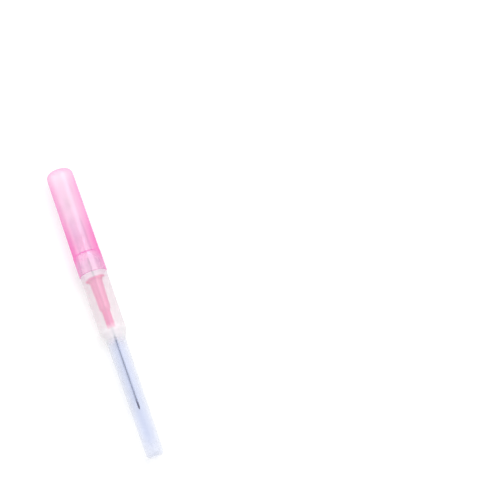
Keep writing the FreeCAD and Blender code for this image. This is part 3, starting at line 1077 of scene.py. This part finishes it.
@dataclass
class EndCap(SubAssembly):
    """Pink cap: a thin socket that slips over the spigot, and a long closed end.

    Attributes:
        socket_radius: Outside radius of the socket.
        seam_step: How much the outside steps in at the seam.
        end_radius: Outside radius at the closed end.
        socket_bore: Radius of the socket's bore.
        bore: Radius of the long bore.
        end_wall: Thickness of the closed end.
        relief: How far the socket's bore runs past the spigot.
        end_round: Rounding of the closed end.
        floor_round: Rounding of the bore's floor.
    """

    socket_radius: float = 5.525
    seam_step: float = 0.12
    end_radius: float = 5.25
    socket_bore: float = 4.78
    bore: float = 4.2
    end_wall: float = 0.9
    relief: float = 0.15
    end_round: float = 2.6
    floor_round: float = 1.3

    def build(self) -> None:
        """Turns the cap's wall as one shell."""
        at = self.at
        inner_end = at.case_end - self.end_wall
        socket_end = at.spigot_top + self.relief
        corners = [
            Corner(at.mouth, self.socket_bore, 0.15),
            Corner(at.mouth, self.socket_radius, 0.2),
            Corner(at.spigot_top, self.socket_radius, 0.05),
            Corner(at.spigot_top + self.seam_step, self.socket_radius - self.seam_step, 0.05),
            Corner(at.case_end, self.end_radius, self.end_round),
            Corner(at.case_end, 0),
            Corner(inner_end, 0),
            Corner(inner_end, self.bore, self.floor_round),
            Corner(socket_end, self.bore),
            Corner(socket_end, self.socket_bore),
        ]
        mesh = turned_mesh("cap_shell", corners)
        self.bench.place(mesh, PINK_CAP.slot, "cap", "end_cap")


@dataclass
class CatheterUnit(SubAssembly):
    """Pink hub with its two locking lugs, and the tube that a steel ferrule wedges in it.

    Attributes:
        nose_radius: Outside radius of the slim nose.
        nose_length: Its length.
        cone_length: Length of the cone behind it.
        body_front: Outside radius at the body's front.
        body_back: Outside radius at the body's back.
        collar_radius: Radius of the collar.
        collar_depth: Its thickness.
        tube_hold: Radius of the bore that holds the tube.
        sleeve_hold: Radius of the bore round the tube where the ferrule is inside it.
        sleeve_start: How far behind the nose's front that bore begins.
        sleeve_lead: Length of the cone that leads into it.
        flare_start: How far behind the nose's front the bore begins to flare.
        flare_end: How far behind it the bore has its full flare.
        flare_hold: Radius of the flared bore.
        luer_front: Radius at the luer socket's front.
        luer_mouth: Radius at its mouth.
        luer_depth: Its depth.
        lug_count: How many lugs there are.
        lug_reach: Radius of the lugs' tips.
        lug_width: Their width.
        lug_depth: Their middle thickness.
        lug_rise: How much their front faces climb.
        lug_root: How deep they reach into the collar.
        lug_turn: Their turn about the axis, in degrees.
    """

    nose_radius: float = 1.6
    nose_length: float = 7.0
    cone_length: float = 0.9
    body_front: float = 2.15
    body_back: float = 2.6
    collar_radius: float = 3.0
    collar_depth: float = 0.9
    tube_hold: float = 0.55
    sleeve_hold: float = 0.64
    sleeve_start: float = 2.2
    sleeve_lead: float = 0.15
    flare_start: float = 4.2
    flare_end: float = 5.1
    flare_hold: float = 1.1
    luer_front: float = 1.922
    luer_mouth: float = 2.15
    luer_depth: float = 7.6
    lug_count: int = 2
    lug_reach: float = 3.9
    lug_width: float = 2.8
    lug_depth: float = 0.9
    lug_rise: float = 0.5
    lug_root: float = 0.35
    lug_turn: float = 55.0

    def build(self) -> None:
        """Makes the hub and its lugs, and paints the tube and the ferrule."""
        self.bench.place(self.hub_mesh(), PINK_HUB.slot, "catheter", "catheter_hub")
        self.bench.place(self.lugs_mesh(), PINK_HUB.slot, "catheter")
        self.bench.paint("catheter_tube", TUBING.slot)
        self.bench.paint("catheter_ferrule", STEEL.slot)

    def hub_mesh(self) -> Mesh:
        """The turned hub, from its nose to its luer mouth.

        Returns:
            The mesh, in millimetres.
        """
        front, back = self.at.hub_nose, self.at.hub_mouth
        cone = front + self.nose_length
        body = cone + self.cone_length
        collar = back - self.collar_depth
        corners = [
            Corner(front, self.tube_hold),
            Corner(front, self.nose_radius, 0.25),
            Corner(cone, self.nose_radius, 0.15),
            Corner(body, self.body_front, 0.3),
            Corner(collar, self.body_back, 0.15),
            Corner(collar, self.collar_radius, 0.12),
            Corner(back, self.collar_radius, 0.12),
            Corner(back, self.luer_mouth, 0.1),
            Corner(back - self.luer_depth, self.luer_front),
            Corner(cone, self.flare_hold),
            Corner(front + self.flare_end, self.flare_hold),
            Corner(front + self.flare_start, self.sleeve_hold),
            Corner(front + self.sleeve_start, self.sleeve_hold),
            Corner(front + self.sleeve_start - self.sleeve_lead, self.tube_hold),
        ]
        return turned_mesh("luer_hub", corners, segments=72)

    def lugs_mesh(self) -> Mesh:
        """The two lugs, whose front faces climb like a thread's flank.

        Returns:
            The mesh, in millimetres.
        """
        half, back = self.lug_width / 2, self.at.hub_mouth
        middle = back - self.lug_depth
        outline = [
            (-half, back),
            (-half, middle - self.lug_rise / 2),
            (half, middle + self.lug_rise / 2),
            (half, back),
        ]
        reach = math.sqrt(self.lug_reach**2 - half**2)
        lug = block_mesh("locking_lugs", outline, self.collar_radius - self.lug_root, reach)
        lug.transform(Matrix.Rotation(math.radians(self.lug_turn), 4, "Y"))
        values = {"Count": self.lug_count, "Material": self.bench.materials[PINK_HUB.slot]}
        return run_geometry_nodes(ring_tree(), lug, values)


@dataclass
class NeedleUnit(SubAssembly):
    """Clear hub with its finned shank, grip disc and flash chamber, and the steel needle.

    Attributes:
        nose_front: Radius at the luer nose's front.
        nose_back: Radius at its back.
        nose_length: Its length.
        gap: Gap between the pink hub's back and the shank's fins.
        core_radius: Radius of the shank's core.
        fin_reach: Radius of the fins.
        fin_width: Their thickness.
        fin_count: How many there are.
        fin_root: How deep they reach into the core.
        disc_radius: Radius of the grip disc.
        disc_width: Its thickness.
        chamber_radius: Outside radius of the flash chamber.
        chamber_bore: Its bore's radius.
        floor_cone: Depth of the cone at the chamber's floor.
        socket_depth: Depth of the taper socket for the plug.
        socket_front: Radius at the socket's front.
        socket_mouth: Radius at its mouth.
        hole: Radius of the hole for the needle.
        well_radius: Radius of the glue well.
        well_depth: Its depth.
    """

    nose_front: float = 1.895
    nose_back: float = 2.12
    nose_length: float = 7.5
    gap: float = 0.1
    core_radius: float = 1.1
    fin_reach: float = 2.2
    fin_width: float = 0.55
    fin_count: int = 4
    fin_root: float = 0.05
    disc_radius: float = 4.2
    disc_width: float = 1.0
    chamber_radius: float = 2.6
    chamber_bore: float = 1.85
    floor_cone: float = 1.0
    socket_depth: float = 6.45
    socket_front: float = 1.9365
    socket_mouth: float = 2.13
    hole: float = 0.38
    well_radius: float = 0.95
    well_depth: float = 1.2

    def build(self) -> None:
        """Makes the clear hub and its fins, and paints the needle and its adhesive."""
        hub, fins = self.hub_mesh(), self.fins_mesh()
        self.bench.place(hub, CLEAR_HUB.slot, "needle_set", "needle_hub")
        self.bench.place(fins, CLEAR_HUB.slot, "needle_set")
        self.bench.paint("needle", STEEL.slot)
        self.bench.paint("needle_bond", ADHESIVE.slot)

    def hub_mesh(self) -> Mesh:
        """The turned hub, from its luer nose to the chamber's mouth.

        Returns:
            The mesh, in millimetres.
        """
        at = self.at
        nose_back = at.hub_mouth + self.gap
        nose = nose_back - self.nose_length
        floor = at.disc_seat + self.disc_width
        corners = [
            Corner(nose, self.well_radius),
            Corner(nose, self.nose_front, 0.15),
            Corner(nose_back, self.nose_back, 0.05),
            Corner(nose_back, self.core_radius),
            Corner(at.disc_seat, self.core_radius, 0.2),
            Corner(at.disc_seat, self.disc_radius, 0.2),
            Corner(floor, self.disc_radius, 0.2),
            Corner(floor, self.chamber_radius, 0.2),
            Corner(at.chamber_mouth, self.chamber_radius, 0.12),
            Corner(at.chamber_mouth, self.socket_mouth, 0.05),
            Corner(at.chamber_mouth - self.socket_depth, self.socket_front),
            Corner(at.chamber_mouth - self.socket_depth, self.chamber_bore),
            Corner(floor + self.floor_cone, self.chamber_bore, 0.4),
            Corner(floor, self.hole),
            Corner(nose + self.well_depth, self.hole),
        ]
        return turned_mesh("chamber_hub", corners, segments=80)

    def fins_mesh(self) -> Mesh:
        """The shank's fins, between the luer nose and the grip disc.

        Returns:
            The mesh, in millimetres.
        """
        half = self.fin_width / 2
        front, back = self.at.hub_mouth + self.gap, self.at.disc_seat
        outline = [(-half, front), (-half, back), (half, back), (half, front)]
        fin = block_mesh("shank_fins", outline, self.core_radius - self.fin_root, self.fin_reach)
        values = {"Count": self.fin_count, "Material": self.bench.materials[CLEAR_HUB.slot]}
        return run_geometry_nodes(ring_tree(), fin, values)


@dataclass
class VentUnit(SubAssembly):
    """Frosted vent plug with a finger rim, and the porous filter in its passage.

    Attributes:
        nose_length: Length of the taper nose.
        neck_length: Length of the neck that stays outside the chamber.
        nose_front: Radius at the nose's front.
        nose_back: Radius at its back.
        body_radius: Radius of the body.
        body_length: Its length.
        shoulder_radius: Radius at the front of the shoulder.
        shoulder_length: Length of the shoulder's cone.
        rim_radius: Radius of the finger rim.
        rim_length: Its length.
        recess_radius: Radius of the recess in the back.
        recess_depth: Its depth.
        passage: Radius of the air passage.
        filter_radius: Radius of the filter.
        filter_length: Its length.
        filter_setback: How deep it sits below the recess.
        filter_play: Gap between its grains and their seat.
        grain: Radius of its grains.
        grain_density: Grains on a square millimetre of it.
        grain_seed: Seed of their places and sizes.
    """

    nose_length: float = 6.3
    neck_length: float = 0.7
    nose_front: float = 1.911
    nose_back: float = 2.1
    body_radius: float = 2.7
    body_length: float = 11.9
    shoulder_radius: float = 2.3
    shoulder_length: float = 0.9
    rim_radius: float = 3.1
    rim_length: float = 2.4
    recess_radius: float = 1.9
    recess_depth: float = 1.7
    passage: float = 0.8
    filter_radius: float = 1.5
    filter_length: float = 3.0
    filter_setback: float = 3.2
    filter_play: float = 0.01
    grain: float = 0.11
    grain_density: float = 14.0
    grain_seed: int = 20

    def build(self) -> None:
        """Makes the plug and the filter's grains."""
        self.bench.place(self.plug_mesh(), FROSTED_PLUG.slot, "plug", "vent_plug")
        self.bench.place(self.filter_mesh(), FILTER.slot, "plug", "vent_filter")

    def plug_mesh(self) -> Mesh:
        """The turned plug, from its nose to its recessed back.

        Returns:
            The mesh, in millimetres.
        """
        shoulder = self.at.plug_shoulder
        nose = shoulder - self.neck_length - self.nose_length
        rim = shoulder + self.body_length
        back = rim + self.rim_length
        recess = back - self.recess_depth
        seat = recess - self.filter_setback - self.filter_length
        corners = [
            Corner(nose, self.passage, 0.1),
            Corner(nose, self.nose_front, 0.2),
            Corner(shoulder - self.neck_length, self.nose_back),
            Corner(shoulder, self.nose_back),
            Corner(shoulder, self.shoulder_radius, 0.1),
            Corner(shoulder + self.shoulder_length, self.body_radius, 0.5),
            Corner(rim, self.body_radius, 0.15),
            Corner(rim, self.rim_radius, 0.2),
            Corner(back, self.rim_radius, 0.4),
            Corner(back, self.recess_radius, 0.15),
            Corner(recess, self.recess_radius),
            Corner(recess, self.filter_radius),
            Corner(seat, self.filter_radius),
            Corner(seat, self.passage),
        ]
        return turned_mesh("frosted_plug", corners, segments=80)

    def filter_mesh(self) -> Mesh:
        """The filter's rod, covered with sintered grains that stay inside its seat.

        Returns:
            The mesh, in millimetres.
        """
        back = self.at.plug_shoulder + self.body_length + self.rim_length
        back -= self.recess_depth + self.filter_setback + self.grain
        front = back - self.filter_length + 2 * self.grain
        radius = self.filter_radius - self.grain - self.filter_play
        corners = [Corner(front, 0), Corner(front, radius), Corner(back, radius), Corner(back, 0)]
        rod = turned_mesh("sintered_filter", corners, segments=48)
        values = {
            "Density": self.grain_density,
            "Grain": self.grain,
            "Seed": self.grain_seed,
            "Material": self.bench.materials[FILTER.slot],
        }
        return run_geometry_nodes(grain_tree(), rod, values)


@dataclass(frozen=True)
class Viewpoint:
    """Where the picture is taken from.

    Attributes:
        azimuth: Degrees round the object; 0 looks along +Y.
        elevation: Degrees above the floor.
        lens: Focal length, in millimetres.
        film: Width of the film, in millimetres.
        distance: Metres from the camera to the object's middle.
        picture: Width of the square picture, in pixels.
        middle_px: Where the object's middle falls in it.
    """

    azimuth: float = -19.4
    elevation: float = 74.0
    lens: float = 150.0
    film: float = 36.0
    distance: float = 0.80
    picture: float = 500.0
    middle_px: tuple[float, float] = (106.0, 311.1)

    def back(self) -> Vector:
        """Unit vector from the object towards the camera."""
        a, e = math.radians(self.azimuth), math.radians(self.elevation)
        return Vector((math.sin(a) * math.cos(e), -math.cos(a) * math.cos(e), math.sin(e)))

    def turn(self) -> Matrix:
        """The camera's turn, with its columns right, up and back."""
        return self.back().to_track_quat("Z", "Y").to_matrix()


@dataclass(frozen=True)
class Softbox:
    """A soft studio light.

    Attributes:
        side: Where it stands, as seen in the picture.
        power: Its power, in watts.
        size: Its width and height, in metres.
        lean: Degrees that it leans away from straight above the object.
        distance: Metres to the object.
        ahead: Metres that it stands further towards the cap's end.
    """

    side: Side
    power: float
    size: tuple[float, float]
    lean: float
    distance: float
    ahead: float = 0.0


SOFTBOXES = (
    Softbox(Side.RIGHT, 7.6, (0.55, 0.75), 28.0, 1.1, 0.45),
    Softbox(Side.LEFT, 5.4, (0.5, 0.9), 58.0, 1.2),
    Softbox(Side.TOP, 1.5, (0.9, 0.5), 50.0, 1.3),
)


@dataclass
class Studio:
    """White floor and surroundings, softboxes and the camera.

    Attributes:
        view: Where the picture is taken from.
        middle: The object's middle, in metres.
        floor_half: Half of the floor's width, in metres.
        floor_glow: Light that the floor adds to its own picture.
        ambient: Strength of the white surroundings as a light.
        paper: Colour of the floor's paper.
    """

    view: Viewpoint
    middle: Vector
    floor_half: float = 6.0
    floor_glow: float = 0.46
    ambient: float = 0.58
    paper: str = "#C8C8C8"

    def build(self) -> None:
        """Makes the floor, the surroundings, the lights and the camera."""
        self.make_floor()
        self.make_world()
        for box in SOFTBOXES:
            self.make_light(box)
        self.make_camera()

    def seen_directly(self, tree: Tree) -> Socket:
        """Socket that is 1 for rays that picture a thing, and 0 for rays that light one.

        Args:
            tree: The node tree it goes into.

        Returns:
            The socket.
        """
        path = add_node(tree, "ShaderNodeLightPath")
        total = path.outputs["Is Camera Ray"]
        for name in ("Is Glossy Ray", "Is Transmission Ray"):
            terms = {0: total, 1: path.outputs[name]}
            total = add_node(tree, "ShaderNodeMath", terms, operation="MAXIMUM").outputs[0]
        return total

    def make_floor(self) -> None:
        """White paper that keeps the object's shadow and otherwise reads as plain white."""
        h = self.floor_half
        mesh = bpy.data.meshes.new("studio_floor")
        mesh.from_pydata([(-h, -h, 0), (h, -h, 0), (h, h, 0), (-h, h, 0)], [], [(0, 1, 2, 3)])
        floor = add_object("studio_floor", mesh)
        material, tree, output = start_material("matt white paper")
        paper = add_node(tree, "ShaderNodeBsdfDiffuse", {"Color": linear(self.paper)})
        terms = {0: self.seen_directly(tree), 1: self.floor_glow}
        strength = add_node(tree, "ShaderNodeMath", terms, operation="MULTIPLY")
        glow = add_node(tree, "ShaderNodeEmission", {"Strength": strength.outputs[0]})
        both = add_node(tree, "ShaderNodeAddShader", {0: paper.outputs[0], 1: glow.outputs[0]})
        tree.links.new(both.outputs[0], output.inputs["Surface"])
        mesh.materials.append(material)
        floor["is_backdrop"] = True

    def make_world(self) -> None:
        """White surroundings: plain white to look at, softer as a light."""
        world = bpy.data.worlds.new("studio")
        bpy.context.scene.world = world
        world.use_nodes = True
        tree = world.node_tree
        tree.nodes.clear()
        values = {"Value": self.seen_directly(tree), "To Min": self.ambient, "To Max": 1.0}
        strength = add_node(tree, "ShaderNodeMapRange", values)
        sky = add_node(tree, "ShaderNodeBackground", {"Strength": strength.outputs["Result"]})
        output = add_node(tree, "ShaderNodeOutputWorld")
        tree.links.new(sky.outputs[0], output.inputs["Surface"])

    def make_light(self, box: Softbox) -> None:
        """Hangs one softbox and aims it at the object.

        Args:
            box: The softbox.
        """
        light = bpy.data.lights.new(f"softbox_{box.side.value}", "AREA")
        light.shape = "RECTANGLE"
        light.size, light.size_y = box.size
        light.energy = box.power
        columns = self.view.turn()
        right, up = columns.col[0], columns.col[1]
        sideways = {Side.RIGHT: right, Side.LEFT: -right, Side.TOP: up}[box.side]
        lean = math.radians(box.lean)
        flat = Vector((sideways.x, sideways.y, 0)).normalized()
        towards = flat * math.sin(lean) + Vector((0, 0, math.cos(lean)))
        hung = add_object(light.name, light)
        offset = towards * box.distance + Vector((0, box.ahead, 0))
        hung.location = self.middle + offset
        hung.rotation_euler = offset.to_track_quat("Z", "Y").to_euler()
        hung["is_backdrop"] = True
        LOG.info("%s: %.1f W", light.name, light.energy)

    def make_camera(self) -> None:
        """Sets the camera so that the object's middle falls where the picture has it."""
        view = self.view
        data = bpy.data.cameras.new("camera")
        data.lens, data.sensor_width = view.lens, view.film
        camera = add_object("camera", data)
        turn = view.turn()
        per_px = view.film / view.lens * view.distance / view.picture
        across = (view.picture / 2 - view.middle_px[0]) * per_px
        upwards = (view.middle_px[1] - view.picture / 2) * per_px
        aim = self.middle + turn.col[0] * across + turn.col[1] * upwards
        camera.matrix_world = Matrix.Translation(aim + view.back() * view.distance) @ turn.to_4x4()
        bpy.context.scene.camera = camera
        camera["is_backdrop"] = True


def set_rendering() -> None:
    """Plain colours, and enough see-through steps for walls inside walls."""
    scene = bpy.context.scene
    scene.view_settings.view_transform = "Standard"
    scene.cycles.transparent_max_bounces = 48
    scene.cycles.diffuse_bounces = 10
    scene.cycles.max_bounces = 20


def main() -> None:
    """Builds the picture, piece by piece."""
    logging.basicConfig(level=logging.INFO, format="%(name)s: %(message)s")
    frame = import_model()
    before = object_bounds()
    at = Stations()
    axis = CaseAxis.from_frame(frame, at.case_end)
    materials = {look.slot: plastic_material(look, axis) for look in PLASTICS}
    materials[STEEL.slot] = steel_material(STEEL)
    materials[FILTER.slot] = filter_material(FILTER)
    bench = Bench(axis, materials, frame)
    for unit in (ProtectiveSheath, EndCap, CatheterUnit, NeedleUnit, VentUnit):
        unit(bench, at).build()
    Studio(Viewpoint(), (before[0] + before[1]) / 2).build()
    set_rendering()


if __name__ == "__main__":
    main()
